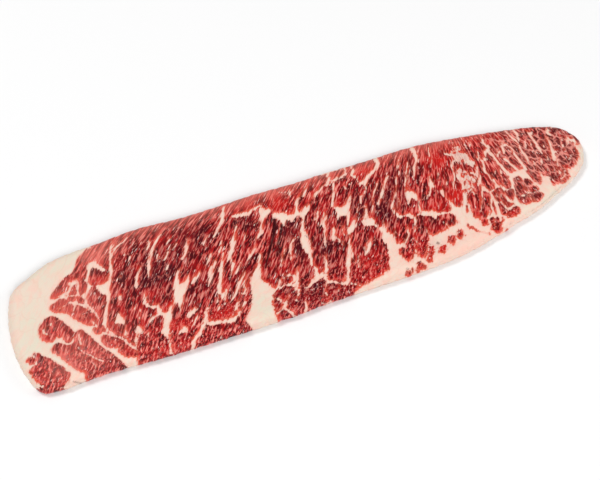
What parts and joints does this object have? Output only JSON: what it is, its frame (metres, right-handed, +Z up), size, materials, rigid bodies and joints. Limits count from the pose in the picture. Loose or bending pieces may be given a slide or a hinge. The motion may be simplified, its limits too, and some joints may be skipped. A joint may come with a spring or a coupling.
{
  "type": "raw beef top blade steak",
  "caption": "Long thin slice of raw, heavily marbled beef, blunt with a thick fat cap at one end and tapered to a rounded tip at the other.",
  "frame": {"origin": "on the underside, in the middle of the slice's box", "axes": "+X along the slice from the fat cap to the tip, +Y across it to the far long edge, +Z up out of the cut face"},
  "size_m": [0.3021, 0.0748, 0.0064],
  "materials": {
    "beef": "wet raw beef: dark red to bright red lean with cream fat seams, moist sheen"
  },
  "bodies": {
    "root": {"steak": "beef"}
  },
  "joints": []
}
